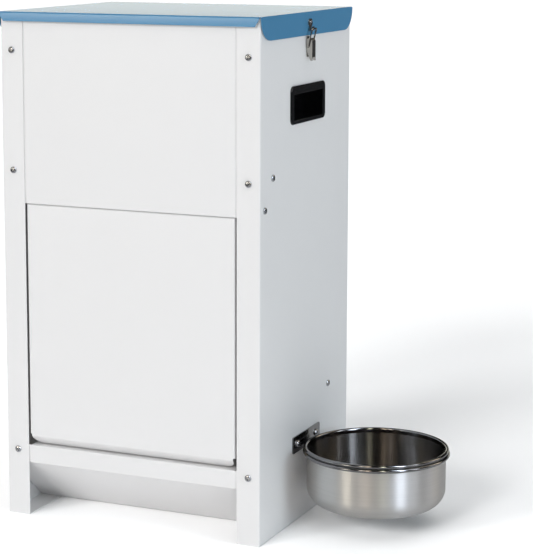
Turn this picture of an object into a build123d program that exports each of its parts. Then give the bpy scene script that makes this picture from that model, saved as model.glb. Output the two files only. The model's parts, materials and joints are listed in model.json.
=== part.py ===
from build123d import *
import os
from math import atan2, cos, hypot, radians, sin

os.makedirs("parts", exist_ok=True)

# Gravity dog feeder in folded sheet steel, in millimetres.
# It is built with the cabinet centred on X and Y, its front towards -Y and its base at Z 0,
# and at the end it is moved so that the origin is the middle of the base of the whole object.

# Cabinet
cabinet_width = 333.0
cabinet_depth = 277.2
cabinet_height = 606.3
sheet = 1.0
bend_radius = 0.8
post_width = 29.0
back_flange_width = 22.0
rim_flange_width = 12.0
panel_gap = 0.2
hem_depth = 10.0

# Upper front panel, flush between the posts
panel_side_gap = 2.2
panel_bottom_height = 382.0
joggle_run = 1.5
joggle_bend = 0.2
tab_width = 24.0

# Feed flap, flush between the posts and hung on a rod
flap_side_gap = 2.0
flap_top_gap = 0.7
flap_bottom_height = 98.5
flap_return_depth = 12.0
flap_bend_radius = 1.8
flap_lip_drop = 9.8
flap_lip_corner = 12.0
pivot_height = 390.0
pivot_setback = 11.6
pivot_rod_radius = 3.0
pivot_ear_wall = 5.0
pivot_clearance = 0.05
rod_thread_depth = 16.0
rod_thread_clearance = 0.03
rod_screw_short = 2.0
spacer_wall = 1.5
spacer_side_gap = 0.4

# Trough
lip_flap_clearance = 1.4
lip_flange_depth = 18.0
lip_bottom_height = 66.5
lip_edge_round = 0.6
trough_floor_start = 76.5
trough_floor_length = 124.0
trough_back_height = 92.0
trough_back_flange = 20.0
trough_cheek_height = 16.0

# Slanted hopper floor, given by its two screws on each side
baffle_upper_screw_setback = 34.5
baffle_upper_screw_height = 424.5
baffle_lower_screw_setback = 209.5
baffle_lower_screw_height = 147.5
baffle_flange_depth = 18.0
baffle_screw_drop = 9.0
baffle_tail = 17.0
baffle_top_flange = 15.0

# Lid
lid_side_gap = 1.3
lid_front_gap = 3.2
lid_back_gap = 2.6
lid_top_gap = 0.7
lid_side_depth = 27.3
lid_end_depth = 11.0
lid_end_slant = 6.0
lid_end_corner = 4.0
lid_notch = 0.8

# Lid hinges
hinge_spacing = 190.0
hinge_width = 42.0
hinge_leaf = 1.2
hinge_knuckle_radius = 3.0
hinge_pin_radius = 1.5
hinge_clearance = 0.05
hinge_knuckle_gap = 0.4
hinge_drop = 3.6
hinge_leaf_height = 24.0
hinge_leaf_start = 8.0
hinge_screw_spacing = 24.0

# Side latches
latch_catch_width = 12.0
latch_catch_height = 14.5
latch_catch_corner = 4.5
latch_catch_start = 4.6
latch_plate = 1.0
latch_hook_width = 8.0
latch_hook_lip = 5.5
latch_wire_radius = 1.0
latch_wire_play = 0.4
latch_wire_bend = 1.3
latch_free_gap = 0.35
latch_lever_drop = 6.7
latch_lever_offset = 3.9
latch_lever_boss = 3.3
latch_lever_web_offset = 7.8
latch_lever_web_rise = 1.5
latch_lever_length = 19.0
latch_prong_length = 4.0
latch_prong_width = 2.4
latch_ear_half_width = 4.0
latch_side_play = 0.25
latch_bail_drop = 7.0
latch_bail_inset = 1.0
latch_base_length = 24.0
latch_base_below_lid = 1.2
latch_ear_wall = 1.3
latch_pin_radius = 1.2
latch_rivet_inset = 4.2
latch_rivet_spacing = 7.0
latch_clearance = 0.05
latch_hook_below_lip = 2.5

# Recessed side handles
handle_below_latch = 31.3
handle_length = 105.6
handle_tall = 45.0
handle_proud = 2.0
handle_edge_round = 1.2
handle_corner = 7.0
handle_side_bar = 8.3
handle_top_bar = 10.0
handle_bottom_bar = 5.0
handle_cup_depth = 24.0
handle_wall = 2.0
handle_cup_inset = 2.0
handle_cut_gap = 0.3
handle_grip_depth = 4.0
handle_mouth_round = 0.8

# Bowl, its ring and its bracket
bowl_radius = 82.6
bowl_height = 70.0
bowl_sheet = 0.8
bowl_corner = 22.0
bowl_bead_radius = 2.2
bowl_top_height = 95.7
ring_wire_radius = 2.2
ring_clearance = 0.35
ring_gap = 0.3
bracket_length = 85.0
bracket_tall = 20.0
bracket_height = 95.4
bracket_plate = 1.5
bracket_standoff = 2.0
bracket_pad_length = 20.0
bracket_pad_half_height = 1.7
bracket_corner = 2.5
bracket_screw_spacing = 58.0

# Fasteners
screw_radius = 1.95
screw_hole_radius = 2.1
screw_head_radius = 4.0
screw_head_height = 2.4
screw_head_round = 1.3
screw_recess_length = 3.8
screw_recess_width = 0.9
screw_recess_depth = 1.1
screw_shank_past_nut = 2.0
seat_gap = 0.02
nut_height = 3.2
nut_flats = 7.0
nut_clearance = 0.05
rivet_radius = 1.5
rivet_head_radius = 3.2
rivet_head_height = 1.8
rivet_head_round = 1.4
rivet_tail_radius = 2.4
rivet_tail_height = 0.9
rivet_hole_clearance = 0.05
lip_screw_height = 80.5
panel_screw_rise = 39.0
top_screw_drop = 43.3
lower_back_screw_height = 140.0
top_back_screw_drop = 46.3
trough_back_screw_spacing = 200.0

# Planes and places that follow from the driving sizes
half_width = cabinet_width / 2
front = -cabinet_depth / 2
back = cabinet_depth / 2
inner_side = half_width - sheet
post_inner = half_width - post_width
behind_posts = front + sheet
behind_panels = behind_posts + sheet
inner_back = back - sheet
post_screw_x = half_width - post_width / 2
back_screw_x = half_width - back_flange_width / 2
panel_screw_heights = [panel_bottom_height + panel_screw_rise, cabinet_height - top_screw_drop]
post_screw_heights = [lip_screw_height] + panel_screw_heights
top_back_screw_height = cabinet_height - top_back_screw_drop
middle_back_screw_height = (lower_back_screw_height + top_back_screw_height) / 2
back_screw_heights = [lower_back_screw_height, middle_back_screw_height, top_back_screw_height]
fitted_side = inner_side - panel_gap
corner_side = fitted_side - bend_radius
panel_top = cabinet_height - sheet - panel_gap
lid_top = cabinet_height + lid_top_gap + sheet
lid_side = half_width + lid_side_gap + sheet
lid_front = front - lid_front_gap - sheet
lid_back = back + lid_back_gap + sheet


# A block given by its lowest and highest corner
def block(low, high):
    size = [b - a for a, b in zip(low, high)]
    return Pos(*low) * Box(*size, align=(Align.MIN, Align.MIN, Align.MIN))


# A round bar from one point along a direction
def bar(start, direction, length, radius):
    base = Plane(origin=start, z_dir=direction)
    lift = Pos(0, 0, length / 2)
    return base * lift * Cylinder(radius, length)


def both_sides(shape):
    return [shape, mirror(shape, about=Plane.YZ)]


# Points of an open path moved to its left by a distance, with mitred corners
def offset_path(points, distance):
    normals = []
    for (u1, v1), (u2, v2) in zip(points, points[1:]):
        run = hypot(u2 - u1, v2 - v1)
        normals.append(((v1 - v2) / run, (u2 - u1) / run))
    befores = [normals[0]] + normals
    afters = normals + [normals[-1]]
    moved = []
    for (u, v), (a, b), (c, d) in zip(points, befores, afters):
        reach = distance / (1 + a * c + b * d)
        moved.append((u + (a + c) * reach, v + (b + d) * reach))
    return moved


# Section of a folded sheet: one face along the path, the other to its left
def folded_section(path, thickness, inner_radius):
    other = offset_path(path, thickness)
    near_radii = []
    far_radii = []
    for (u0, v0), (u1, v1), (u2, v2) in zip(path, path[1:], path[2:]):
        turns_left = (u1 - u0) * (v2 - v1) - (v1 - v0) * (u2 - u1) > 0
        near_radii.append(inner_radius + thickness if turns_left else inner_radius)
        far_radii.append(inner_radius if turns_left else inner_radius + thickness)
    near = FilletPolyline(*path, radius=near_radii)
    far = FilletPolyline(*other, radius=far_radii)
    ends = [Line(path[0], other[0]), Line(path[-1], other[-1])]
    return make_face(near.edges() + far.edges() + [end.edge() for end in ends])


# A section drawn in Y and Z, drawn out to both sides along X
def along_x(section, half_length):
    return extrude(Plane.YZ * section, amount=half_length, both=True)


# A pan-head screw with a cross recess, head up, its head resting on Z 0
def pan_screw(shank_length):
    head = Pos(0, 0, screw_head_height / 2) * Cylinder(screw_head_radius, screw_head_height)
    head = fillet(head.edges().group_by(Axis.Z)[-1], screw_head_round)
    shank = Pos(0, 0, -shank_length / 2) * Cylinder(screw_radius, shank_length)
    recess_top = screw_head_height - screw_recess_depth / 2
    slot = Pos(0, 0, recess_top) * Box(screw_recess_length, screw_recess_width, screw_recess_depth)
    return head + shank - slot - Rot(0, 0, 90) * slot


def hex_nut():
    corner = nut_flats / 2 / cos(radians(30))
    body = extrude(RegularPolygon(corner, 6), amount=-nut_height)
    return body - Cylinder(screw_radius + nut_clearance, 3 * nut_height)


# A rivet with a domed head over Z 0 and a flat tail under the plates that it holds
def rivet(grip):
    grip = grip + 2 * seat_gap
    head = Pos(0, 0, rivet_head_height / 2) * Cylinder(rivet_head_radius, rivet_head_height)
    head = fillet(head.edges().group_by(Axis.Z)[-1], rivet_head_round)
    shank = Pos(0, 0, -grip / 2) * Cylinder(rivet_radius, grip)
    tail_middle = -grip - rivet_tail_height / 2
    tail = Pos(0, 0, tail_middle) * Cylinder(rivet_tail_radius, rivet_tail_height)
    return Pos(0, 0, seat_gap) * (head + shank + tail)


# A screw through plates of a total thickness, and its nut behind them
def screw_and_nut(point, direction, grip):
    seat = Plane(origin=point, z_dir=direction)
    screw = seat * Pos(0, 0, seat_gap) * pan_screw(grip + nut_height + screw_shank_past_nut)
    nut = seat * Pos(0, 0, -grip - seat_gap) * hex_nut()
    return screw, nut


parts = {}


# Screw places on the side of the cabinet, as Y and Z
pivot_point = (front + pivot_setback, pivot_height)
baffle_upper_point = (front + baffle_upper_screw_setback, baffle_upper_screw_height)
baffle_lower_point = (front + baffle_lower_screw_setback, baffle_lower_screw_height)
bracket_screw_points = [
    (-bracket_screw_spacing / 2, bracket_height),
    (bracket_screw_spacing / 2, bracket_height),
]

# Latch heights and offsets from the side of the cabinet
lid_side_bottom = lid_top - lid_side_depth
catch_bottom = lid_side_bottom + latch_catch_start
hook_seat = 2 * latch_wire_radius + latch_wire_play
hook_outside = lid_side + 2 * latch_plate + hook_seat
lever_pivot_x = half_width + latch_lever_offset
lever_pivot_z = lid_side_bottom - latch_lever_drop
bail_pivot_x = lever_pivot_x - latch_bail_inset
bail_pivot_z = lever_pivot_z - latch_bail_drop
bail_bar_x = hook_outside + latch_free_gap + latch_wire_radius
bail_bar_z = catch_bottom + latch_hook_lip - latch_hook_below_lip
base_top = lid_side_bottom - latch_base_below_lid
base_bottom = base_top - latch_base_length
lower_rivet_height = base_bottom + latch_rivet_inset
base_rivet_heights = [lower_rivet_height, lower_rivet_height + latch_rivet_spacing]
handle_height = base_bottom - handle_below_latch - handle_tall / 2


def side_panel(own_points):
    lip = bend_radius + sheet
    shell = block((post_inner, front, 0), (half_width, back, cabinet_height))
    shell = fillet(shell.faces().sort_by(Axis.X)[-1].edges(), lip)
    low = (post_inner - 1, front + sheet, sheet)
    high = (inner_side, back - sheet, cabinet_height - sheet)
    space = block(low, high)
    space = fillet(space.faces().sort_by(Axis.X)[-1].edges(), bend_radius)
    panel = shell - space
    back_cut_x = half_width - back_flange_width
    panel -= block((0, inner_back, sheet), (back_cut_x, back + 1, cabinet_height + 1))
    rim_cut_x = half_width - rim_flange_width
    rim_low = cabinet_height - sheet
    panel -= block((0, behind_posts, rim_low), (rim_cut_x, back + 1, cabinet_height + 1))
    for height in post_screw_heights:
        panel -= bar((post_screw_x, front - 1, height), (0, 1, 0), sheet + 2, screw_hole_radius)
    for height in back_screw_heights:
        panel -= bar((back_screw_x, inner_back - 1, height), (0, 1, 0), sheet + 2, screw_hole_radius)
    for y, z in [pivot_point, baffle_upper_point, baffle_lower_point] + own_points:
        panel -= bar((inner_side - 1, y, z), (1, 0, 0), sheet + 2, screw_hole_radius)
    for height in base_rivet_heights:
        hole_radius = rivet_radius + rivet_hole_clearance
        panel -= bar((inner_side - 1, 0, height), (1, 0, 0), sheet + 2, hole_radius)
    cut_length = handle_length - 2 * handle_cup_inset
    cut_tall = handle_tall - 2 * handle_cup_inset
    cut = RectangleRounded(cut_length, cut_tall, handle_corner - handle_cup_inset)
    opening = Plane.YZ * Pos(0, handle_height, half_width) * cut
    return panel - extrude(opening, amount=2 * sheet, both=True)


parts["right_side_panel"] = side_panel(bracket_screw_points)
parts["left_side_panel"] = mirror(side_panel([]), about=Plane.YZ)


# Back panel inside the back flanges, with a turned-in top edge
def back_panel():
    face_front = inner_back - sheet
    rim_front = inner_back - rim_flange_width
    path = [
        (inner_back, 2 * sheet),
        (inner_back, panel_top),
        (rim_front, panel_top),
    ]
    panel = along_x(folded_section(path, sheet, bend_radius), corner_side)
    for side in (-1, 1):
        for height in back_screw_heights:
            hole = (side * back_screw_x, face_front - 1, height)
            panel -= bar(hole, (0, 1, 0), sheet + 2, screw_hole_radius)
        hole = (side * trough_back_screw_spacing / 2, face_front - 1, trough_screw_height)
        panel -= bar(hole, (0, 1, 0), sheet + 2, screw_hole_radius)
        for x in hinge_screw_places(side):
            hole = (x, face_front - 1, hinge_screw_height)
            panel -= bar(hole, (0, 1, 0), sheet + 2, screw_hole_radius)
    return panel


def hinge_screw_places(side):
    middle = side * hinge_spacing / 2
    return [middle - hinge_screw_spacing / 2, middle + hinge_screw_spacing / 2]


trough_screw_height = trough_back_height + trough_back_flange / 2
lid_end_bottom = lid_top - lid_end_depth
hinge_axis_y = lid_back + hinge_knuckle_radius
hinge_axis_z = lid_end_bottom - hinge_drop
hinge_leaf_top = hinge_axis_z - hinge_leaf_start
hinge_screw_height = hinge_leaf_top - hinge_leaf_height / 2
parts["back_panel"] = back_panel()


# Flush face between the posts, stepped back at each side to tabs behind them
def stepped_face(bottom, top):
    face_edge = post_inner - panel_side_gap
    tab_edge = face_edge + joggle_run + tab_width
    outline = [
        (-tab_edge, behind_posts),
        (-face_edge - joggle_run, behind_posts),
        (-face_edge, front),
        (face_edge, front),
        (face_edge + joggle_run, behind_posts),
        (tab_edge, behind_posts),
    ]
    section = folded_section(outline, sheet, joggle_bend)
    return Pos(0, 0, bottom) * extrude(section, amount=top - bottom)


# Half the width of the hems and rims on a flush face
fold_edge = post_inner - panel_side_gap - sheet


# A turned-back hem along the inside of a flush face
def hem(low, high):
    return block((-fold_edge, behind_posts, low), (fold_edge, behind_panels, high))


def upper_front_panel():
    panel = stepped_face(panel_bottom_height, panel_top)
    panel += hem(panel_bottom_height, panel_bottom_height + hem_depth)
    rim_low = (-fold_edge, front + sheet / 2, panel_top - sheet)
    rim_high = (fold_edge, front + rim_flange_width, panel_top)
    panel += block(rim_low, rim_high)
    for side in (-1, 1):
        for height in panel_screw_heights:
            hole = (side * post_screw_x, front - 1, height)
            panel -= bar(hole, (0, 1, 0), 4 * sheet, screw_hole_radius)
    return panel


parts["upper_front_panel"] = upper_front_panel()


# Trough folded from one sheet: lip flange, lip, front slope, floor, back slope and back flange
lip_top_height = flap_bottom_height - flap_lip_drop - lip_flap_clearance


def trough_panel():
    floor_low = sheet + panel_gap
    slope_start_y = behind_posts + panel_gap
    floor_front = front + trough_floor_start
    floor_back = floor_front + trough_floor_length
    trough_back = inner_back - sheet - panel_gap
    path = [
        (slope_start_y, lip_bottom_height),
        (floor_front, floor_low),
        (floor_back, floor_low),
        (trough_back, trough_back_height),
        (trough_back, trough_back_height + trough_back_flange),
    ]
    pan = along_x(folded_section(path, sheet, bend_radius), corner_side)
    bottom_edge = path[:4]
    top_edge = [(y, z + trough_cheek_height) for y, z in reversed(bottom_edge)]
    cheek_face = Plane.YZ * make_face(Polyline(*bottom_edge, *top_edge, close=True))
    cheek = Pos(corner_side - sheet, 0, 0) * extrude(cheek_face, amount=sheet)
    for wall in both_sides(cheek):
        pan += wall
    lip = stepped_face(lip_bottom_height, lip_top_height)
    flange_low = (-fold_edge, front + sheet / 2, lip_top_height - sheet)
    flange_high = (fold_edge, front + lip_flange_depth, lip_top_height)
    lip += block(flange_low, flange_high)
    top_edges = lip.edges().filter_by(Axis.X).group_by(Axis.Z)[-1]
    lip = fillet(top_edges.sort_by(Axis.Y)[0], lip_edge_round)
    slope = atan2(lip_bottom_height - floor_low, floor_front - slope_start_y)
    drop = sheet * sin(slope)
    root_low = (-fold_edge, front, lip_bottom_height - drop)
    root_high = (fold_edge, front + 2 * sheet, lip_bottom_height + sheet)
    lip += block(root_low, root_high)
    pan += lip
    for side in (-1, 1):
        hole = (side * post_screw_x, front - 1, lip_screw_height)
        pan -= bar(hole, (0, 1, 0), 4 * sheet, screw_hole_radius)
        hole = (side * trough_back_screw_spacing / 2, trough_back - 3, trough_screw_height)
        pan -= bar(hole, (0, 1, 0), 4 * sheet + 2, screw_hole_radius)
    return pan


parts["trough"] = trough_panel()


# Slanted hopper floor: a channel whose side flanges turn down towards the front
slope_run = baffle_lower_screw_setback - baffle_upper_screw_setback
slope_fall = baffle_upper_screw_height - baffle_lower_screw_height
slope_length = hypot(slope_run, slope_fall)
slope_direction = (0, slope_run / slope_length, -slope_fall / slope_length)
slope_frame = Plane(origin=(0, *baffle_upper_point), x_dir=(1, 0, 0), z_dir=slope_direction)


def hopper_baffle():
    web = -baffle_screw_drop
    edge = web + baffle_flange_depth
    path = [
        (-fitted_side, edge),
        (-fitted_side, web),
        (fitted_side, web),
        (fitted_side, edge),
    ]
    section = folded_section(path, sheet, bend_radius)
    top_face = behind_panels + panel_gap
    reach = (baffle_upper_point[0] - front + baffle_screw_drop) * slope_length / slope_run
    length = reach + slope_length + baffle_tail
    channel = slope_frame * Pos(0, 0, -reach) * extrude(section, amount=length)
    cut_low = (-half_width, front - cabinet_depth, 0)
    cut_high = (half_width, top_face, 2 * cabinet_height)
    channel -= block(cut_low, cut_high)
    web_top = channel.bounding_box().max.Z
    flange_low = (-fold_edge, top_face, web_top - 2 * sheet)
    flange_high = (fold_edge, top_face + sheet, web_top + baffle_top_flange)
    channel += block(flange_low, flange_high)
    for y, z in (baffle_upper_point, baffle_lower_point):
        for side in (-1, 1):
            start = (side * (half_width + 1), y, z)
            channel -= bar(start, (-side, 0, 0), 4 * sheet + 2, screw_hole_radius)
    return channel


parts["hopper_baffle"] = hopper_baffle()


# Feed flap: face, side returns with ears for the rod, top return and a turned-in bottom lip with round corners
flap_half_width = post_inner - flap_side_gap
flap_top = panel_bottom_height - flap_top_gap
ear_radius = pivot_rod_radius + pivot_ear_wall


# A box whose front face has its sides and its top rounded over
def round_fronted(low, high, radius):
    box = block(low, high)
    face = box.faces().sort_by(Axis.Y)[0]
    return fillet(face.edges().sort_by(Axis.Z)[1:], radius)


# What is cut off the lip to round its corner, drawn on the lip's own slanted face
def lip_corner_cut():
    lip_length = hypot(flap_lip_drop, flap_lip_drop)
    corner = flap_lip_corner
    start = lip_length - corner
    square = Pos(-1, start) * Rectangle(corner + 1, corner + 1, align=(Align.MIN, Align.MIN))
    spare = square - Pos(corner, start) * Circle(corner)
    fold_end = (lip_half_width, front, flap_bottom_height)
    lip_face = Plane(origin=fold_end, x_dir=(-1, 0, 0), z_dir=(0, -1, -1))
    return lip_face * extrude(spare, amount=2 * sheet, both=True)


flap_edge_radius = flap_bend_radius + sheet
lip_half_width = flap_half_width - flap_edge_radius


def feed_flap():
    face_bottom = flap_bottom_height + flap_edge_radius
    flap_back = front + flap_return_depth
    outer_low = (-flap_half_width, front, face_bottom)
    outer_high = (flap_half_width, flap_back, flap_top)
    inner_low = (sheet - flap_half_width, behind_posts, face_bottom - 1)
    inner_high = (flap_half_width - sheet, flap_back + 1, flap_top - sheet)
    flap = round_fronted(outer_low, outer_high, flap_edge_radius)
    flap -= round_fronted(inner_low, inner_high, flap_bend_radius)
    path = [
        (front, face_bottom + sheet),
        (front, flap_bottom_height),
        (front + flap_lip_drop, flap_bottom_height - flap_lip_drop),
    ]
    flap += along_x(folded_section(path, sheet, flap_bend_radius), lip_half_width)
    for cut in both_sides(lip_corner_cut()):
        flap -= cut
    ear_front = pivot_point[0] - ear_radius
    ear_back = pivot_point[0] + ear_radius
    ear = block(
        (flap_half_width - sheet, ear_front, flap_top - ear_radius),
        (flap_half_width, ear_back, pivot_height),
    )
    ear += bar((flap_half_width - sheet, *pivot_point), (1, 0, 0), sheet, ear_radius)
    for piece in both_sides(ear):
        flap += piece
    hole_radius = pivot_rod_radius + pivot_clearance
    return flap - bar((-half_width, *pivot_point), (1, 0, 0), cabinet_width, hole_radius)


parts["feed_flap"] = feed_flap()


# Rod across the cabinet, with a tapped hole in each end, and a spacer tube at each side
rod_end = inner_side - seat_gap


def flap_rod():
    rod = bar((-rod_end, *pivot_point), (1, 0, 0), 2 * rod_end, pivot_rod_radius)
    thread_radius = screw_radius + rod_thread_clearance
    thread_start = (rod_end - rod_thread_depth, *pivot_point)
    hole = bar(thread_start, (1, 0, 0), rod_thread_depth + 1, thread_radius)
    for piece in both_sides(hole):
        rod -= piece
    return rod


def flap_spacers():
    start = flap_half_width + spacer_side_gap
    length = inner_side - 2 * seat_gap - start
    bore = pivot_rod_radius + pivot_clearance
    tube = bar((start, *pivot_point), (1, 0, 0), length, bore + spacer_wall)
    tube -= bar((start - 1, *pivot_point), (1, 0, 0), length + 2, bore)
    return Compound(both_sides(tube))


parts["flap_pivot_rod"] = flap_rod()
parts["flap_spacers"] = flap_spacers()


# Lid: top sheet, deep rounded side flanges and shallow end flanges with slanted ends
def lid_panel():
    half_lid = lid_side - bend_radius - sheet
    path = [
        (lid_back, lid_end_bottom),
        (lid_back, lid_top),
        (lid_front, lid_top),
        (lid_front, lid_end_bottom),
    ]
    lid = along_x(folded_section(path, sheet, bend_radius), half_lid - lid_notch)
    end_slant = Polyline(
        (half_lid, lid_top - sheet - bend_radius),
        (half_lid, lid_end_bottom - 1),
        (half_lid - lid_notch - lid_end_slant, lid_end_bottom - 1),
        (half_lid - lid_notch, lid_top - 2 * sheet - bend_radius),
        close=True,
    )
    slant_face = Plane.XZ * make_face(end_slant)
    slant = extrude(slant_face, amount=cabinet_depth, both=True)
    for piece in both_sides(slant):
        lid -= piece
    across = [
        (lid_side, lid_side_bottom),
        (lid_side, lid_top),
        (-lid_side, lid_top),
        (-lid_side, lid_side_bottom),
    ]
    section = folded_section(across, sheet, bend_radius)
    side_front = lid_front + bend_radius + sheet
    side_back = lid_back - bend_radius - sheet
    top = Plane.XZ * section
    top = Pos(0, side_back, 0) * extrude(top, amount=side_back - side_front)
    for y_end, inward in ((side_front, 1), (side_back, -1)):
        top -= flange_corner_cut(y_end, inward)
    lid += top
    hole_radius = rivet_radius + rivet_hole_clearance
    for side in (-1, 1):
        start = (side * (lid_side + 1), 0, catch_rivet_height)
        lid -= bar(start, (-side, 0, 0), sheet + 2, hole_radius)
        for x in hinge_screw_places(side):
            lid -= bar((x, lid_back + 1, hinge_rivet_height), (0, -1, 0), sheet + 2, hole_radius)
    return lid


# What is cut off a side flange to leave a quarter-round end
def flange_corner_cut(y_end, inward):
    radius = lid_side_depth - sheet
    centre_y = y_end + inward * radius
    past_end = y_end - inward
    square = block(
        (-lid_side - 1, min(past_end, centre_y), lid_side_bottom - 1),
        (lid_side + 1, max(past_end, centre_y), lid_top - sheet),
    )
    disc = bar((-lid_side - 2, centre_y, lid_top - sheet), (1, 0, 0), 2 * lid_side + 4, radius)
    return square - disc


catch_rivet_height = catch_bottom + latch_catch_height - latch_catch_corner
hinge_rivet_height = lid_end_bottom + lid_end_depth / 2
parts["lid"] = lid_panel()


# A round bar along the hinge axis between two places
def hinge_bar(start, end, radius):
    return bar((start, hinge_axis_y, hinge_axis_z), (1, 0, 0), end - start, radius)


half_leaf = hinge_width / 2
half_knuckle = hinge_width / 6
outer_knuckle = half_knuckle + hinge_knuckle_gap


# Hinge leaves: the cabinet's leaf is cranked out to the knuckles, the lid's is flat
def body_leaf(side):
    middle = side * hinge_spacing / 2
    path = [
        (hinge_axis_y, hinge_axis_z),
        (inner_back, hinge_leaf_top),
        (inner_back, hinge_leaf_top - hinge_leaf_height),
    ]
    leaf = Pos(middle, 0, 0) * along_x(folded_section(path, hinge_leaf, bend_radius), half_leaf)
    clear_radius = hinge_knuckle_radius + hinge_knuckle_gap
    leaf -= hinge_bar(middle - outer_knuckle, middle + outer_knuckle, clear_radius)
    leaf += hinge_bar(middle - half_leaf, middle - outer_knuckle, hinge_knuckle_radius)
    leaf += hinge_bar(middle + outer_knuckle, middle + half_leaf, hinge_knuckle_radius)
    leaf -= hinge_bar(middle - hinge_width, middle + hinge_width, hinge_pin_radius)
    for x in hinge_screw_places(side):
        leaf -= bar((x, back + 5, hinge_screw_height), (0, -1, 0), 10, screw_hole_radius)
    return leaf


def lid_leaf(side):
    middle = side * hinge_spacing / 2
    plate_low = (middle - half_leaf, lid_back, lid_end_bottom)
    plate_high = (middle + half_leaf, lid_back + hinge_leaf, lid_top - bend_radius - sheet)
    leaf = block(plate_low, plate_high)
    neck_low = (middle - half_knuckle, lid_back, hinge_axis_z)
    neck_high = (middle + half_knuckle, lid_back + hinge_leaf, lid_end_bottom)
    leaf += block(neck_low, neck_high)
    leaf += hinge_bar(middle - half_knuckle, middle + half_knuckle, hinge_knuckle_radius)
    pin_hole_radius = hinge_pin_radius + hinge_clearance
    leaf -= hinge_bar(middle - hinge_width, middle + hinge_width, pin_hole_radius)
    hole_radius = rivet_radius + rivet_hole_clearance
    for x in hinge_screw_places(side):
        leaf -= bar((x, lid_back + 5, hinge_rivet_height), (0, -1, 0), 10, hole_radius)
    return leaf


def hinge_pin(side):
    middle = side * hinge_spacing / 2
    return hinge_bar(middle - half_leaf, middle + half_leaf, hinge_pin_radius)


parts["lid_hinge_body_leaves"] = Compound([body_leaf(side) for side in (-1, 1)])
parts["lid_hinge_lid_leaves"] = Compound([lid_leaf(side) for side in (-1, 1)])
parts["lid_hinge_pins"] = Compound([hinge_pin(side) for side in (-1, 1)])


# Latch catch on the lid flange, its lower end curled out and up into a hook
def latch_catch():
    x = lid_side
    path = [
        (x, catch_bottom + latch_catch_height),
        (x, catch_bottom),
        (hook_outside, catch_bottom),
        (hook_outside, catch_bottom + latch_hook_lip),
    ]
    section = Plane.XZ * folded_section(path, latch_plate, bend_radius)
    hook = extrude(section, amount=latch_hook_width / 2, both=True)
    plate_low = catch_bottom + latch_hook_lip
    plate_tall = latch_catch_height - latch_hook_lip
    outline = RectangleRounded(latch_catch_width, plate_tall, latch_catch_corner - 1)
    place = Plane.YZ * Pos(0, plate_low + plate_tall / 2, x)
    plate = place * extrude(outline, amount=latch_plate)
    catch = hook + plate
    hole_radius = rivet_radius + rivet_hole_clearance
    return catch - bar((x - 1, 0, catch_rivet_height), (1, 0, 0), latch_plate + 2, hole_radius)


# A hole across the whole latch
def latch_cross_hole(x, z, radius):
    reach = 2 * latch_catch_width
    return bar((x, -reach, z), (0, 1, 0), 2 * reach, radius)


# Latch base: a plate on the side panel with two ears inside the lever
def latch_base():
    plate = block(
        (half_width, -latch_ear_half_width, base_bottom),
        (half_width + latch_plate, latch_ear_half_width, base_top),
    )
    ear_reach = latch_pin_radius + latch_ear_wall
    ear = block(
        (half_width, latch_ear_half_width - latch_plate, lever_pivot_z - ear_reach),
        (lever_pivot_x, latch_ear_half_width, lever_pivot_z + ear_reach),
    )
    ear_start = (lever_pivot_x, latch_ear_half_width - latch_plate, lever_pivot_z)
    ear += bar(ear_start, (0, 1, 0), latch_plate, ear_reach)
    base = plate + ear + mirror(ear, about=Plane.XZ)
    base -= latch_cross_hole(lever_pivot_x, lever_pivot_z, latch_pin_radius)
    hole_radius = rivet_radius + rivet_hole_clearance
    for height in base_rivet_heights:
        base -= bar((half_width - 1, 0, height), (1, 0, 0), latch_plate + 2, hole_radius)
    return base


# Latch lever: a channel open towards the cabinet, whose two legs run on as prongs
leg_inner = latch_ear_half_width + latch_side_play
leg_outer = leg_inner + latch_plate


def latch_lever():
    web_x = half_width + latch_lever_web_offset
    leg_back_x = lever_pivot_x - latch_lever_boss
    web_end = lever_pivot_z - latch_lever_length
    prong_end = web_end - latch_prong_length
    outline = Polyline(
        (leg_back_x, lever_pivot_z),
        (leg_back_x, lever_pivot_z - latch_bail_drop - latch_lever_boss),
        (web_x - latch_prong_width, prong_end),
        (web_x, prong_end),
        (web_x, lever_pivot_z),
        close=True,
    )
    leg = extrude(Plane.XZ * make_face(outline), amount=-latch_plate)
    leg = Pos(0, leg_inner, 0) * leg
    boss_start = (lever_pivot_x, leg_inner, lever_pivot_z)
    leg += bar(boss_start, (0, 1, 0), latch_plate, latch_lever_boss)
    lever = leg + mirror(leg, about=Plane.XZ)
    lever += block(
        (web_x - latch_plate, -leg_outer, web_end),
        (web_x, leg_outer, lever_pivot_z + latch_lever_web_rise - latch_plate),
    )
    lever -= latch_cross_hole(lever_pivot_x, lever_pivot_z, latch_pin_radius + latch_clearance)
    return lever - latch_cross_hole(bail_pivot_x, bail_pivot_z, latch_wire_radius + latch_clearance)


def latch_pin():
    return bar((lever_pivot_x, -leg_outer, lever_pivot_z), (0, 1, 0), 2 * leg_outer, latch_pin_radius)


# Latch bail: a wire loop from the lever up to its bar, which lies just outside the hook
def latch_bail():
    side_y = leg_outer + latch_free_gap + latch_wire_radius
    end_y = leg_inner - latch_free_gap
    lean = atan2(bail_bar_x - bail_pivot_x, bail_bar_z - bail_pivot_z)
    length = hypot(bail_bar_x - bail_pivot_x, bail_bar_z - bail_pivot_z)
    up = Vector(sin(lean), 0, cos(lean))
    start = Vector(bail_pivot_x, 0, bail_pivot_z)
    end = start + up * length
    across = Vector(0, 1, 0)
    corners = [
        start - across * end_y,
        start - across * side_y,
        end - across * side_y,
        end + across * side_y,
        start + across * side_y,
        start + across * end_y,
    ]
    route = FilletPolyline(*corners, radius=latch_wire_bend)
    profile = Plane(origin=route @ 0, z_dir=route % 0) * Circle(latch_wire_radius)
    return sweep(profile, path=route)


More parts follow.
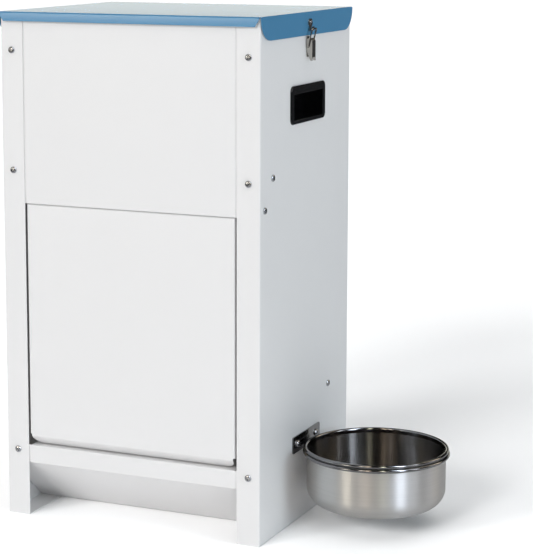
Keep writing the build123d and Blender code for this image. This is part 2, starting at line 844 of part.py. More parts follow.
def base_rivets():
    grip = latch_plate + sheet
    seat_x = half_width + latch_plate
    rivets = []
    for height in base_rivet_heights:
        rivets.append(Plane(origin=(seat_x, 0, height), z_dir=(1, 0, 0)) * rivet(grip))
    return Compound(rivets)


def catch_rivet():
    seat = Plane(origin=(lid_side + latch_plate, 0, catch_rivet_height), z_dir=(1, 0, 0))
    return seat * rivet(latch_plate + sheet)


latch_makers = {
    "latch_catch": latch_catch,
    "latch_catch_rivet": catch_rivet,
    "latch_base": latch_base,
    "latch_base_rivets": base_rivets,
    "latch_lever": latch_lever,
    "latch_pin": latch_pin,
    "latch_bail": latch_bail,
}
for name, make in latch_makers.items():
    right, left = both_sides(make())
    parts[name + "_right"] = right
    parts[name + "_left"] = left


# Recessed handle: a rounded frame on the panel, a cup behind it and a thick top bar to grip
def handle():
    frame_outline = RectangleRounded(handle_length, handle_tall, handle_corner)
    frame_place = Plane.YZ * Pos(0, handle_height, half_width)
    body = frame_place * extrude(frame_outline, amount=handle_proud)
    body = fillet(body.faces().sort_by(Axis.X)[-1].edges(), handle_edge_round)
    cup_length = handle_length - 2 * (handle_cup_inset + handle_cut_gap)
    cup_tall = handle_tall - 2 * (handle_cup_inset + handle_cut_gap)
    cup_corner = handle_corner - handle_cup_inset - handle_cut_gap
    cup_outline = RectangleRounded(cup_length, cup_tall, cup_corner)
    body += frame_place * extrude(cup_outline, amount=-handle_cup_depth - handle_wall)
    pocket_length = handle_length - 2 * handle_side_bar
    pocket_low = handle_height - handle_tall / 2 + handle_bottom_bar
    mouth_high = handle_height + handle_tall / 2 - handle_top_bar
    pocket_high = handle_height + cup_tall / 2 - handle_wall
    half_pocket = pocket_length / 2
    pocket_x = half_width - handle_cup_depth
    pocket = block(
        (pocket_x, -half_pocket, pocket_low),
        (half_width - handle_grip_depth, half_pocket, pocket_high),
    )
    mouth = block(
        (pocket_x, -half_pocket, pocket_low),
        (half_width + handle_proud + 1, half_pocket, mouth_high),
    )
    body -= pocket + mouth
    mouth_edges = body.faces().sort_by(Axis.X)[-1].inner_wires()[0].edges()
    return fillet(mouth_edges, handle_mouth_round)


for name, shape in zip(("handle_right", "handle_left"), both_sides(handle())):
    parts[name] = shape


# Bowl bracket plate, the ring welded to it, and the bowl that hangs in the ring by its rim
plate_face = half_width + bracket_plate
ring_radius = bowl_radius + ring_clearance + ring_wire_radius
bowl_x = plate_face + bracket_standoff + ring_wire_radius + ring_radius
bead_z = bowl_top_height - bowl_bead_radius
ring_z = bead_z - bowl_bead_radius - ring_gap - ring_wire_radius


def bowl_bracket():
    outline = RectangleRounded(bracket_length, bracket_tall, bracket_corner)
    plate = Plane.YZ * Pos(0, bracket_height, half_width) * extrude(outline, amount=bracket_plate)
    for y, z in bracket_screw_points:
        plate -= bar((half_width - 1, y, z), (1, 0, 0), bracket_plate + 2, screw_hole_radius)
    return plate


def bowl_ring():
    ring = Pos(bowl_x, 0, ring_z) * Torus(ring_radius, ring_wire_radius)
    half_pad = bracket_pad_length / 2
    pad = block(
        (plate_face, -half_pad, ring_z - bracket_pad_half_height),
        (plate_face + bracket_standoff + ring_wire_radius, half_pad, ring_z + bracket_pad_half_height),
    )
    return ring + pad


def bowl():
    bottom = bowl_top_height - bowl_height
    inner = bowl_radius - bowl_sheet
    outer_corners = [(0, bottom), (bowl_radius, bottom), (bowl_radius, bead_z)]
    outer_line = FilletPolyline(*outer_corners, radius=bowl_corner)
    inner_corners = [(0, bottom + bowl_sheet), (inner, bottom + bowl_sheet), (inner, bead_z)]
    inner_line = FilletPolyline(*inner_corners, radius=bowl_corner - bowl_sheet)
    ends = [
        Line((0, bottom), (0, bottom + bowl_sheet)),
        Line((bowl_radius, bead_z), (inner, bead_z)),
    ]
    wall = make_face(outer_line.edges() + inner_line.edges() + [end.edge() for end in ends])
    body = revolve(Plane.XZ * wall, axis=Axis.Z)
    bead_radius = inner + bowl_bead_radius
    bead = Pos(0, 0, bead_z) * Torus(bead_radius, bowl_bead_radius)
    return Pos(bowl_x, 0, 0) * (body + bead)


parts["bowl_bracket"] = bowl_bracket()
parts["bowl_ring"] = bowl_ring()
parts["bowl"] = bowl()


# Screws and nuts, gathered by where they are
screws = {"front": [], "side": [], "back": [], "hinge": [], "bracket": []}
nuts = {"front": [], "side": [], "back": [], "hinge": [], "bracket": []}


def fasten(group, point, direction, grip):
    screw, nut = screw_and_nut(point, direction, grip)
    screws[group].append(screw)
    nuts[group].append(nut)


for side in (-1, 1):
    outward = (side, 0, 0)
    for height in post_screw_heights:
        fasten("front", (side * post_screw_x, front, height), (0, -1, 0), 2 * sheet)
    for y, z in (baffle_upper_point, baffle_lower_point):
        fasten("side", (side * half_width, y, z), outward, 2 * sheet + panel_gap)
    pivot_seat = Plane(origin=(side * half_width, *pivot_point), z_dir=outward)
    pivot_shank = sheet + rod_thread_depth - rod_screw_short
    screws["side"].append(pivot_seat * Pos(0, 0, seat_gap) * pan_screw(pivot_shank))
    for height in back_screw_heights:
        fasten("back", (side * back_screw_x, back, height), (0, 1, 0), 2 * sheet)
    trough_point = (side * trough_back_screw_spacing / 2, inner_back, trough_screw_height)
    fasten("back", trough_point, (0, 1, 0), 2 * sheet + panel_gap)
    for x in hinge_screw_places(side):
        fasten("hinge", (x, inner_back + hinge_leaf, hinge_screw_height), (0, 1, 0), hinge_leaf + sheet)
for y, z in bracket_screw_points:
    fasten("bracket", (plate_face, y, z), (1, 0, 0), bracket_plate + sheet)
for group in screws:
    parts[group + "_screws"] = Compound(screws[group])
    parts[group + "_nuts"] = Compound(nuts[group])


def hinge_rivets():
    rivets = []
    for side in (-1, 1):
        for x in hinge_screw_places(side):
            seat = Plane(origin=(x, lid_back + hinge_leaf, hinge_rivet_height), z_dir=(0, 1, 0))
            rivets.append(seat * rivet(hinge_leaf + sheet))
    return Compound(rivets)


parts["lid_hinge_rivets"] = hinge_rivets()

# The whole object is moved so that the origin is the middle of its base
boxes = [shape.bounding_box() for shape in parts.values()]
middle_x = (min(box.min.X for box in boxes) + max(box.max.X for box in boxes)) / 2
middle_y = (min(box.min.Y for box in boxes) + max(box.max.Y for box in boxes)) / 2
to_origin = Pos(-middle_x, -middle_y, 0)
for name, shape in parts.items():
    export_step(to_origin * shape, "parts/" + name + ".step")
print("moved by", round(-middle_x, 4), round(-middle_y, 4))
print("hinge axis", round(hinge_axis_y - middle_y, 4), round(hinge_axis_z, 4))
print("flap axis", round(pivot_point[0] - middle_y, 4), round(pivot_point[1], 4))
print("lever axis", round(lever_pivot_x, 4), round(lever_pivot_z, 4))
print("bail axis", round(bail_pivot_x, 4), round(bail_pivot_z, 4))
print("bowl axis", round(bowl_x - middle_x, 4), round(-middle_y, 4))
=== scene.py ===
import json
import math

import bmesh
import bpy
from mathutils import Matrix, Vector


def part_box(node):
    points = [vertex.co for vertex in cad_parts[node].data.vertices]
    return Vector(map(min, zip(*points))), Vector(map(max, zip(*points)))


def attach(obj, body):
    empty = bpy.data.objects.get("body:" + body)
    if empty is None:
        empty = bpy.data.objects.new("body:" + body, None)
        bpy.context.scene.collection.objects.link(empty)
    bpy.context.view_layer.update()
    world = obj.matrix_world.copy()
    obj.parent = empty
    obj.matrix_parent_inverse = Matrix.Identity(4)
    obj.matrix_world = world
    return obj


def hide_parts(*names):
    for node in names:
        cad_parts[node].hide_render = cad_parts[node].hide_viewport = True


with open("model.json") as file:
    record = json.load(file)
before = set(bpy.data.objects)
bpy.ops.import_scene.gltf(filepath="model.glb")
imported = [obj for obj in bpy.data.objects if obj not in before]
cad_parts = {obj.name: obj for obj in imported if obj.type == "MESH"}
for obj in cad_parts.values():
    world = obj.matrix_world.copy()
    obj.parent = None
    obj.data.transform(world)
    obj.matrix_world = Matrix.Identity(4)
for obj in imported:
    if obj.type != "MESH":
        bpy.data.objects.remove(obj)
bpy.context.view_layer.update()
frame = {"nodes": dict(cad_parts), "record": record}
nodes = frame["nodes"]
print("frame loaded:", len(nodes), "nodes")

mm = 0.001


# sRGB hex to the linear colour that the shader wants
def linearColour(hexText):
    channels = [int(hexText[i:i + 2], 16) / 255 for i in (0, 2, 4)]
    linear = [c / 12.92 if c <= 0.04045 else ((c + 0.055) / 1.055) ** 2.4 for c in channels]
    return (*linear, 1.0)


# Adds a node, with its settings and its inputs; an input is a value or the socket that feeds it
def addNode(tree, kind, settings=None, inputs=None):
    node = tree.nodes.new(kind)
    for name, value in (settings or {}).items():
        setattr(node, name, value)
    for key, value in (inputs or {}).items():
        if isinstance(value, bpy.types.NodeSocket):
            tree.links.new(value, node.inputs[key])
        else:
            node.inputs[key].default_value = value
    return node


# A material with one surface shader, whose values are given by socket name
def newMaterial(name, surface):
    material = bpy.data.materials.new(name)
    material.use_nodes = True
    tree = material.node_tree
    tree.nodes.clear()
    shader = addNode(tree, "ShaderNodeBsdfPrincipled", inputs=surface)
    addNode(tree, "ShaderNodeOutputMaterial", inputs={"Surface": shader.outputs[0]})
    return material, tree, shader


# Fine bump from noise; size is the width of one bump and depth its height, both in metres
def addNoiseBump(tree, shader, size, depth, strength, stretch=(1, 1, 1)):
    place = addNode(tree, "ShaderNodeTexCoord")
    mapping = addNode(tree, "ShaderNodeMapping", inputs={"Vector": place.outputs["Object"], "Scale": stretch})
    noise = addNode(tree, "ShaderNodeTexNoise", inputs={
        "Vector": mapping.outputs[0], "Scale": 1 / size, "Detail": 2.0, "Roughness": 0.5})
    bump = addNode(tree, "ShaderNodeBump", inputs={
        "Height": noise.outputs[0], "Distance": depth, "Strength": strength})
    tree.links.new(bump.outputs[0], shader.inputs["Normal"])


# Base colour that drifts between a colour and its darker shade where the noise goes
def addDrift(tree, shader, colour, shade, size, roughness, stretch=(1, 1, 1)):
    place = addNode(tree, "ShaderNodeTexCoord")
    mapping = addNode(tree, "ShaderNodeMapping", inputs={"Vector": place.outputs["Object"], "Scale": stretch})
    noise = addNode(tree, "ShaderNodeTexNoise", inputs={
        "Vector": mapping.outputs[0], "Scale": 1 / size, "Detail": 3.0, "Roughness": roughness})
    darker = (colour[0] * shade, colour[1] * shade, colour[2] * shade, 1.0)
    drift = addNode(tree, "ShaderNodeMix", {"data_type": "RGBA"}, {0: noise.outputs[0], 6: colour, 7: darker})
    tree.links.new(drift.outputs[2], shader.inputs["Base Color"])


coat = {
    "whiteHex": "DFDEDE",
    # painted light: the inside coat is the same white, made lighter so that the shaded trough and slope read
    # brighter
    "innerLitHex": "ECECE9",
    "blueHex": "4881A7",
    "whiteRoughness": 0.36,
    "blueRoughness": 0.2,
    "ior": 1.5,
    "peelSize": 1.6 * mm,        # width of one dimple of the orange-peel skin
    "peelDepth": 0.05 * mm,
    "whitePeel": 0.22,
    "bluePeel": 0.18,
    "cloudSize": 45 * mm,
    "cloudShade": 0.985,
}


# Polyester powder coat, baked on: even colour and semi-gloss,
# with a faint orange-peel skin and hardly seen clouds
def makePowderCoat(name, hexText, roughness, peel):
    colour = linearColour(hexText)
    material, tree, shader = newMaterial(name, {
        "Base Color": colour, "Roughness": roughness, "IOR": coat["ior"]})
    addNoiseBump(tree, shader, coat["peelSize"], coat["peelDepth"], peel)
    addDrift(tree, shader, colour, coat["cloudShade"], coat["cloudSize"], 0.5)
    return material


steel = {
    "bowlHex": "DAD9D7",
    "bowlRoughness": 0.4,
    "bowlSpread": 0.85,          # how far the highlights are drawn out across the spinning marks
    "bowlGrain": 0.35,
    # painted shade: the inside is the outside's steel in a darker colour, so that the bowl reads dark inside
    "bowlInsideShadeHex": "908E8C",
    "bowlInsideRoughness": 0.22,
    "bowlInsideSpread": 1.0,
    "bowlInsideGrain": 0.08,
    "brushSize": 0.55 * mm,      # real marks are about 0.05 mm apart; drawn coarser so that they show
    "brushDepth": 0.012 * mm,
    "streakSize": 2.4 * mm,      # groups of marks that are a little darker
    "streakShade": 0.86,
    "roundStretch": (0.03, 0.03, 1),
    # painted shade: polished stainless in a far darker colour than the spun bowl, so that the rim bead and
    # ring read dark
    "polishedShadeHex": "868687",
    "polishedRoughness": 0.12,
    "zincHex": "BCBEC2",
    "zincRoughness": 0.22,
    "nickelHex": "BDB9B2",
    "nickelRoughness": 0.09,
    "rivetHex": "7E7F82",
    "rivetRoughness": 0.24,
    "drawnHex": "A9AAAC",
    "drawnRoughness": 0.38,
    "grain": 0.2,
    "grainSize": 0.8 * mm,
    "grainDepth": 0.01 * mm,
}


# Spun stainless steel, brushed or polished round and round: long soft highlights that run up and down,
# crossed by faint level streaks
def makeSpunSteel(name, hexText, roughness, spread, grain):
    colour = linearColour(hexText)
    material, tree, shader = newMaterial(name, {
        "Base Color": colour, "Metallic": 1.0,
        "Roughness": roughness, "Anisotropic": spread,
        "Anisotropic Rotation": 0.25})  # a quarter turn, across the spinning marks
    tangent = addNode(tree, "ShaderNodeTangent", {"direction_type": "UV_MAP", "uv_map": "around"})
    tree.links.new(tangent.outputs[0], shader.inputs["Tangent"])
    stretch = steel["roundStretch"]
    addNoiseBump(tree, shader, steel["brushSize"], steel["brushDepth"], grain, stretch)
    addDrift(tree, shader, colour, steel["streakShade"], steel["streakSize"], 0.6, stretch)
    return material


# Bare or plated metal: mirrors its surroundings, clearly when polished, softly with a fine grain when not
def makeMetal(name, hexText, roughness, grain=0.0):
    material, tree, shader = newMaterial(name, {
        "Base Color": linearColour(hexText), "Metallic": 1.0, "Roughness": roughness})
    if grain:
        addNoiseBump(tree, shader, steel["grainSize"], steel["grainDepth"], grain)
    return material


plastic = {
    "blackHex": "08080A",
    "roughness": 0.16,
    "ior": 1.5,
    "specular": 0.6,
    "texture": 0.15,
    "textureSize": 1.2 * mm,
    "textureDepth": 0.02 * mm,
}


# Injection-moulded ABS, black and glossy, with a slight moulding texture
def makeBlackAbs():
    material, tree, shader = newMaterial("mouldedBlackAbs", {
        "Base Color": linearColour(plastic["blackHex"]), "Roughness": plastic["roughness"],
        "IOR": plastic["ior"], "Specular IOR Level": plastic["specular"]})
    addNoiseBump(tree, shader, plastic["textureSize"], plastic["textureDepth"], plastic["texture"])
    return material


finishes = {
    "whitePowderCoat": makePowderCoat(
        "whitePowderCoat", coat["whiteHex"], coat["whiteRoughness"], coat["whitePeel"]),
    # the same coat as the white, in a lighter colour that paints light into the shaded inside
    "innerPowderCoatPaintedLight": makePowderCoat(
        "innerPowderCoatPaintedLight", coat["innerLitHex"], coat["whiteRoughness"], coat["whitePeel"]),
    "bluePowderCoat": makePowderCoat(
        "bluePowderCoat", coat["blueHex"], coat["blueRoughness"], coat["bluePeel"]),
    "blackAbs": makeBlackAbs(),
    "spunStainless": makeSpunSteel(
        "spunStainless", steel["bowlHex"], steel["bowlRoughness"], steel["bowlSpread"], steel["bowlGrain"]),
    # darker than the outside steel: painted shade inside the bowl
    "bowlInside": makeSpunSteel(
        "polishedBowlInsidePaintedShade", steel["bowlInsideShadeHex"], steel["bowlInsideRoughness"],
        steel["bowlInsideSpread"], steel["bowlInsideGrain"]),
    # darker than the bowl's own steel: painted shade on the rim bead and the polished parts
    "polishedStainless": makeMetal("polishedStainless", steel["polishedShadeHex"], steel["polishedRoughness"]),
    "drawnSteel": makeMetal("drawnSteel", steel["drawnHex"], steel["drawnRoughness"], steel["grain"]),
    "zincPlate": makeMetal("zincPlate", steel["zincHex"], steel["zincRoughness"], steel["grain"]),
    "nickelPlate": makeMetal("nickelPlate", steel["nickelHex"], steel["nickelRoughness"]),
    "dullAluminium": makeMetal("dullAluminium", steel["rivetHex"], steel["rivetRoughness"], steel["grain"]),
}
print("finishes made:", len(finishes))


edges = {"mergeDistance": 0.002 * mm, "smoothAngle": math.radians(32)}


# A CAD piece's mesh with its points merged and its curves shaded smooth; flat faces stay flat
def dressNode(nodeName, finish, body):
    source = nodes[nodeName]
    mesh = source.data.copy()
    mesh.name = nodeName + "Dressed"
    work = bmesh.new()
    work.from_mesh(mesh)
    bmesh.ops.remove_doubles(work, verts=work.verts, dist=edges["mergeDistance"])
    for face in work.faces:
        face.smooth = True
    for edge in work.edges:
        if len(edge.link_faces) == 2 and edge.calc_face_angle(0) < edges["smoothAngle"]:
            continue
        edge.smooth = False
    work.to_mesh(mesh)
    work.free()
    mesh.materials.clear()
    mesh.materials.append(finish)
    piece = bpy.data.objects.new(nodeName + "Dressed", mesh)
    bpy.context.scene.collection.objects.link(piece)
    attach(piece, body)
    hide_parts(nodeName)


bodyOf = {}
for bodyName, members in frame["record"]["behaviour"]["bodies"].items():
    for member in members:
        bodyOf[member] = bodyName
slotOf = {entry["node"]: entry["material_slot"] for entry in frame["record"]["subparts"]}
finishOfSlot = {
    "white_powder_coat": "whitePowderCoat",
    "inner_powder_coat": "innerPowderCoatPaintedLight",
    "blue_powder_coat": "bluePowderCoat",
    "black_plastic": "blackAbs",
    "bowl_stainless": "spunStainless",
    "polished_stainless": "polishedStainless",
    "plain_steel": "drawnSteel",
    "hinge_plate": "zincPlate",
    "rivets": "dullAluminium",
    "latch_nickel": "nickelPlate",
    "zinc_fasteners": "zincPlate",
}
remade = ["bowl", "front_screws", "side_screws", "back_screws", "hinge_screws", "bracket_screws"]
flatNodes = ["back_panel", "hopper_baffle", "bowl_bracket", "back_nuts", "bracket_nuts", "front_nuts",
             "hinge_nuts", "side_nuts", "flap_spacers", "latch_base_right", "latch_base_left"]

# flat pieces keep their CAD meshes, the others are shaded smooth, and the bowl and screws are made below
for nodeName in sorted(nodes):
    finish = finishes[finishOfSlot[slotOf[nodeName]]]
    if nodeName in flatNodes:
        for place in nodes[nodeName].material_slots:
            place.material = finish
    elif nodeName not in remade:
        dressNode(nodeName, finish, bodyOf[nodeName])
print("CAD pieces kept:", len(flatNodes), "smoothed:", len(nodes) - len(remade) - len(flatNodes))


bowlLow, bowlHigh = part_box("bowl")
bowl = {
    "centre": ((bowlLow[0] + bowlHigh[0]) / 2, (bowlLow[1] + bowlHigh[1]) / 2),
    "rimRadius": (bowlHigh[0] - bowlLow[0]) / 2,
    "bottom": bowlLow[2],
    "top": bowlHigh[2],
    "beadRadius": 2.2 * mm,
    "sheet": 0.8 * mm,
    "cornerRadius": 22 * mm,
    "turns": 160,
    "beadSteps": 18,
    "cornerSteps": 16,
    "bottomRow": 6 * mm,     # extra rows close to a curve, which keep the shading even there
    "outsideRow": 3 * mm,
    "insideRow": 4 * mm,
}


# Points of an arc from one angle to another
def arcPoints(centre, radius, start, end, steps):
    points = []
    for i in range(steps + 1):
        angle = start + (end - start) * i / steps
        points.append((centre[0] + radius * math.cos(angle), centre[1] + radius * math.sin(angle)))
    return points


# A surface turned about a vertical axis from rows of (radius, height, material index);
# a row of radius 0 is one point on the axis, which closes the surface there
def turnSurface(name, centre, profile, turns, uvName):
    mesh = bpy.data.meshes.new(name)
    work = bmesh.new()
    rows = []
    for radius, height, _ in profile:
        if radius == 0:
            rows.append([work.verts.new((centre[0], centre[1], height))])
            continue
        row = []
        for i in range(turns):
            angle = 2 * math.pi * i / turns
            x = centre[0] + radius * math.cos(angle)
            row.append(work.verts.new((x, centre[1] + radius * math.sin(angle), height)))
        rows.append(row)
    uvLayer = work.loops.layers.uv.new(uvName)
    for index in range(len(profile) - 1):
        low, high = rows[index], rows[index + 1]
        for i in range(turns):
            j = (i + 1) % turns
            if len(low) == 1:
                corners = [low[0], high[j], high[i]]
                around = [i + 0.5, i + 1, i]
                along = [index, index + 1, index + 1]
            elif len(high) == 1:
                corners = [low[i], low[j], high[0]]
                around = [i, i + 1, i + 0.5]
                along = [index, index, index + 1]
            else:
                corners = [low[i], low[j], high[j], high[i]]
                around = [i, i + 1, i + 1, i]
                along = [index, index, index + 1, index + 1]
            face = work.faces.new(corners)
            face.smooth = True
            face.material_index = profile[index][2]
            for loop, u, v in zip(face.loops, around, along):
                loop[uvLayer].uv = (u / turns, v / (len(profile) - 1))
    bmesh.ops.recalc_face_normals(work, faces=work.faces)
    work.to_mesh(mesh)
    work.free()
    return mesh


# One closed wall: bottom and side outside, the rolled bead, then down the inside
def makeBowl():
    rim = bowl["rimRadius"]
    bead = bowl["beadRadius"]
    wall = bowl["sheet"]
    corner = bowl["cornerRadius"]
    inner = rim - 2 * bead
    outer = inner + wall
    beadHeight = bowl["top"] - bead
    beadCentre = (inner + bead, beadHeight)
    bottom = bowl["bottom"]
    cornerCentre = (outer - corner, bottom + corner)
    outerArc = arcPoints(cornerCentre, corner, -math.pi / 2, 0, bowl["cornerSteps"])
    innerArc = arcPoints(cornerCentre, corner - wall, 0, -math.pi / 2, bowl["cornerSteps"])
    beadStart = math.pi + math.acos((bead - wall) / bead)
    around = arcPoints(beadCentre, bead, beadStart, 3 * math.pi, bowl["beadSteps"])
    profile = [(0.0, bottom, 0), (outer - corner - bowl["bottomRow"], bottom, 0)]
    profile += [(r, z, 0) for r, z in outerArc]
    profile += [(outer, around[0][1] - bowl["outsideRow"], 0)]
    profile += [(r, z, 1) for r, z in around]
    profile += [(inner, beadHeight - bowl["insideRow"], 2)]
    profile += [(r, z, 2) for r, z in innerArc]
    profile += [(0.0, bottom + wall, 2)]
    mesh = turnSurface("waterBowl", bowl["centre"], profile, bowl["turns"], "around")
    # the bead and the inside take darker colours of the same steel, as painted shade
    for finishName in ("spunStainless", "polishedStainless", "bowlInside"):
        mesh.materials.append(finishes[finishName])
    piece = bpy.data.objects.new("waterBowl", mesh)
    bpy.context.scene.collection.objects.link(piece)
    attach(piece, "bowl")
    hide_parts("bowl")


makeBowl()
print("bowl made")


screw = {
    "headRadius": 4.0 * mm,
    "headHeight": 2.4 * mm,
    "headSides": 28,
    "headRows": 6,
    "headRings": 5,
    "taper": 0.22,           # how far the head's top edge is drawn in, as a share of its radius
    "drop": 0.25,            # how far it is drawn down at a full dome, as a share of its height
    "domeShare": 0.55,
    "recessLength": 4.8 * mm,
    "recessWidth": 1.3 * mm,
    "recessDepth": 1.7 * mm,
    "crossShares": (2.0, 2.1),  # height of each recess bar, in recess depths; half of it is above the head
    "shankRadius": 1.95 * mm,
    "shankSides": 20,
    "mergeDistance": 0.01 * mm,
    "seed": 7,
}


# One pan-head screw with its head on the origin and its shank downwards, instanced on every seat
def makeScrewTree(material):
    tree = bpy.data.node_groups.new("panScrews", "GeometryNodeTree")
    sockets = tree.interface
    sockets.new_socket("Seats", in_out="INPUT", socket_type="NodeSocketGeometry")
    sizeNames = ("Head Radius", "Head Height", "Dome Share", "Recess Length", "Recess Width",
                 "Recess Depth", "Shank Radius")
    for name in sizeNames:
        sockets.new_socket(name, in_out="INPUT", socket_type="NodeSocketFloat")
    sockets.new_socket("Seed", in_out="INPUT", socket_type="NodeSocketInt")
    sockets.new_socket("Screws", in_out="OUTPUT", socket_type="NodeSocketGeometry")
    given = addNode(tree, "NodeGroupInput").outputs

    def maths(operation, first, second):
        return addNode(tree, "ShaderNodeMath", {"operation": operation}, {0: first, 1: second}).outputs[0]

    def vector(x, y, z):
        return addNode(tree, "ShaderNodeCombineXYZ", inputs={0: x, 1: y, 2: z}).outputs[0]

    # head: a short cylinder whose top is drawn down towards its edge
    disc = addNode(tree, "GeometryNodeMeshCylinder", {"fill_type": "NGON"}, {
        "Vertices": screw["headSides"], "Side Segments": screw["headRows"],
        "Fill Segments": screw["headRings"],
        "Radius": given["Head Radius"], "Depth": given["Head Height"]})
    lifted = addNode(tree, "GeometryNodeTransform", inputs={
        "Geometry": disc.outputs["Mesh"],
        "Translation": vector(0.0, 0.0, maths("MULTIPLY", given["Head Height"], 0.5))})
    place = addNode(tree, "GeometryNodeInputPosition").outputs[0]
    parts = addNode(tree, "ShaderNodeSeparateXYZ", inputs={0: place}).outputs
    flat = vector(parts[0], parts[1], 0.0)
    radius = addNode(tree, "ShaderNodeVectorMath", {"operation": "LENGTH"}, {0: flat}).outputs["Value"]
    height = maths("DIVIDE", parts[2], given["Head Height"])
    share = maths("DIVIDE", radius, given["Head Radius"])
    inward = maths("MULTIPLY", maths("POWER", height, 4.0), screw["taper"])
    squeeze = maths("SUBTRACT", 1.0, inward)
    fullDrop = maths("MULTIPLY", maths("POWER", height, 2.0), screw["drop"])
    drop = maths("MULTIPLY", maths("POWER", share, 3.0), fullDrop)
    flatten = maths("SUBTRACT", 1.0, maths("MULTIPLY", drop, given["Dome Share"]))
    domed = vector(
        maths("MULTIPLY", parts[0], squeeze),
        maths("MULTIPLY", parts[1], squeeze),
        maths("MULTIPLY", parts[2], flatten),
    )
    head = addNode(tree, "GeometryNodeSetPosition", inputs={"Geometry": lifted.outputs[0], "Position": domed})

    # cross recess: two crossed bars cut into the head, one a little deeper so that no faces coincide
    cutters = []
    for turn, depthShare in zip((0.0, math.pi / 2), screw["crossShares"]):
        depth = maths("MULTIPLY", given["Recess Depth"], depthShare)
        bar = addNode(tree, "GeometryNodeMeshCube", inputs={
            "Size": vector(given["Recess Length"], given["Recess Width"], depth)})
        placed = addNode(tree, "GeometryNodeTransform", inputs={
            "Geometry": bar.outputs["Mesh"], "Translation": vector(0.0, 0.0, given["Head Height"]),
            "Rotation": (0.0, 0.0, turn)})
        cutters.append(placed.outputs[0])
    cut = addNode(tree, "GeometryNodeMeshBoolean", {"operation": "DIFFERENCE"}, {0: head.outputs[0]})
    for cutter in cutters:
        tree.links.new(cutter, cut.inputs["Mesh 2"])
    clean = addNode(tree, "GeometryNodeMergeByDistance", inputs={
        "Geometry": cut.outputs[0], "Distance": screw["mergeDistance"]})

    # shank: a unit cylinder under the head, stretched to each seat's own length
    rod = addNode(tree, "GeometryNodeMeshCylinder", {"fill_type": "NGON"}, {
        "Vertices": screw["shankSides"], "Radius": given["Shank Radius"], "Depth": 1.0})
    hung = addNode(tree, "GeometryNodeTransform", inputs={
        "Geometry": rod.outputs["Mesh"], "Translation": (0.0, 0.0, -0.5)})

    facing = addNode(tree, "GeometryNodeInputNamedAttribute", {"data_type": "FLOAT_VECTOR"}, {
        "Name": "facing"})
    length = addNode(tree, "GeometryNodeInputNamedAttribute", {"data_type": "FLOAT"}, {
        "Name": "shankLength"})
    upright = addNode(tree, "FunctionNodeAlignRotationToVector", {"axis": "Z"}, {"Vector": facing.outputs[0]})
    spin = addNode(tree, "FunctionNodeRandomValue", {"data_type": "FLOAT"}, {"Seed": given["Seed"]})
    turned = addNode(tree, "FunctionNodeRotateRotation", {"rotation_space": "LOCAL"}, {
        "Rotation": upright.outputs[0],
        "Rotate By": addNode(tree, "FunctionNodeAxisAngleToRotation", inputs={
            "Axis": (0.0, 0.0, 1.0), "Angle": maths("MULTIPLY", spin.outputs[1], math.pi)}).outputs[0]})
    heads = addNode(tree, "GeometryNodeInstanceOnPoints", inputs={
        "Points": given["Seats"], "Instance": clean.outputs[0], "Rotation": turned.outputs[0]})
    shanks = addNode(tree, "GeometryNodeInstanceOnPoints", inputs={
        "Points": given["Seats"], "Instance": hung.outputs[0], "Rotation": upright.outputs[0],
        "Scale": vector(1.0, 1.0, length.outputs[0])})
    both = addNode(tree, "GeometryNodeJoinGeometry")
    tree.links.new(heads.outputs[0], both.inputs[0])
    tree.links.new(shanks.outputs[0], both.inputs[0])
    real = addNode(tree, "GeometryNodeRealizeInstances", inputs={"Geometry": both.outputs[0]})
    painted = addNode(tree, "GeometryNodeSetMaterial", inputs={
        "Geometry": real.outputs[0], "Material": material})
    addNode(tree, "NodeGroupOutput", inputs={"Screws": painted.outputs[0]})
    return tree


# The seats are read from the CAD screws: each solid's box gives its axis, its head and its length
def screwSeats(nodeName):
    work = bmesh.new()
    work.from_mesh(nodes[nodeName].data)
    bmesh.ops.remove_doubles(work, verts=work.verts, dist=edges["mergeDistance"])
    seen = set()
    seats = []
    for start in work.verts:
        if start.index in seen:
            continue
        stack, island = [start], []
        seen.add(start.index)
        while stack:
            vert = stack.pop()
            island.append(vert.co.copy())
            for edge in vert.link_edges:
                other = edge.other_vert(vert)
                if other.index not in seen:
                    seen.add(other.index)
                    stack.append(other)
        low = Vector([min(p[i] for p in island) for i in range(3)])
        high = Vector([max(p[i] for p in island) for i in range(3)])
        size = high - low
        middle = (low + high) / 2
        axis = max(range(3), key=lambda i: size[i])
        sideways = [i for i in range(3) if i != axis]
        onHead = max(island, key=lambda p: sum((p[i] - middle[i]) ** 2 for i in sideways))
        headSide = 1 if onHead[axis] > middle[axis] else -1
        facing = Vector([headSide if i == axis else 0 for i in range(3)])
        seat = middle.copy()
        seat[axis] = (high[axis] if headSide > 0 else low[axis]) - headSide * screw["headHeight"]
        seats.append((seat, facing, size[axis] - screw["headHeight"]))
    work.free()
    return seats


